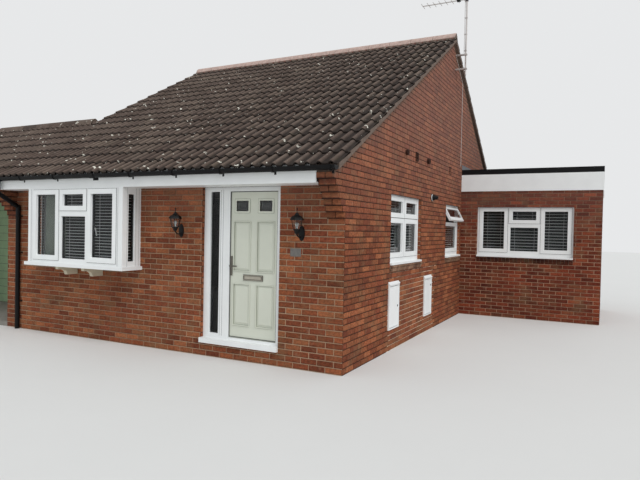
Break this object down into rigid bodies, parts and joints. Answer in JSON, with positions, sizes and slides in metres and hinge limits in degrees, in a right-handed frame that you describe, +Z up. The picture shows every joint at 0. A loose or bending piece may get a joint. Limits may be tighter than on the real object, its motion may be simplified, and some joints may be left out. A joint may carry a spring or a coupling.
{
  "type": "bungalow",
  "caption": "Single-storey brick house: tiled gable roof, square bay window, hinged front door with side light, flat-roofed side extension and covered garage front under a lower roof.",
  "frame": {"origin": "front right corner of the main house, on the ground", "axes": "+X along the front towards the extension, +Y to the back, +Z up"},
  "size_m": [11.947, 10.4256, 6.42],
  "materials": {
    "concrete": "rough grey concrete",
    "brick": "orange red facing brick with sandy joints",
    "extension_brick": "deep red brick with light joints",
    "plaster": "white ceiling board",
    "roof_tiles": "weathered brown concrete roll tiles",
    "ridge_clay": "weathered terracotta",
    "white_plastic": "satin white",
    "black_plastic": "satin black",
    "cream_paint": "cream painted wood",
    "door_paint": "satin sage green",
    "glass": "clear sealed units",
    "satin_metal": "satin silver",
    "roof_felt": "grey mineral felt",
    "green_paint": "faded green",
    "lantern_black": "satin black",
    "slate": "riven dark slate",
    "vent_brown": "dark brown",
    "bare_metal": "weathered aluminium"
  },
  "bodies": {
    "house": {"floor_slabs": "concrete", "front_wall": "brick", "front_wall_at_door": "brick", "right_gable_wall": "brick", "left_gable_wall": "brick", "rear_wall": "brick", "ceiling": "plaster", "roof_front": "roof_tiles", "roof_rear": "roof_tiles", "ridge_tiles": "ridge_clay", "fascias": "white_plastic", "soffits": "white_plastic", "gutters": "black_plastic", "downpipes": "black_plastic", "bay_frame": "white_plastic", "bay_sill": "white_plastic", "bay_brackets": "cream_paint", "door_frame": "white_plastic", "door_hinges": "satin_metal", "door_sill": "white_plastic", "window_frames": "white_plastic", "window_glass": "glass", "white_sills": "white_plastic", "brick_sills": "brick", "ext_front_wall": "extension_brick", "ext_side_wall": "extension_brick", "ext_rear_wall": "extension_brick", "ext_roof": "roof_felt", "ext_fascia": "white_plastic", "ext_edge_trim": "black_plastic", "garage_party_wall": "brick", "garage_walls": "brick", "garage_door": "green_paint", "garage_roof": "roof_tiles", "meter_housings": "white_plastic", "wall_lanterns": "lantern_black", "number_plate": "slate", "gable_vents": "vent_brown", "security_light": "black_plastic", "aerial": "bare_metal"},
    "front_door": {"door_leaf": "door_paint", "door_panes": "glass", "door_furniture": "satin_metal"},
    "meter_lid_1": {"meter_door_1": "white_plastic"},
    "meter_lid_2": {"meter_door_2": "white_plastic"}
  },
  "joints": [
    {"name": "front_door_hinge", "type": "hinge", "parent": "house", "child": "front_door", "pos_m": [-0.946, 0.1271, 1.25], "axis": [0, 0, -1], "range_deg": [0, 95]},
    {"name": "meter_lid_1_hinge", "type": "hinge", "parent": "house", "child": "meter_lid_1", "pos_m": [0.016, 1.5725, 0.635], "axis": [0, 0, -1], "range_deg": [0, 110]},
    {"name": "meter_lid_2_hinge", "type": "hinge", "parent": "house", "child": "meter_lid_2", "pos_m": [0.016, 3.3425, 0.61], "axis": [0, 0, -1], "range_deg": [0, 110]}
  ]
}
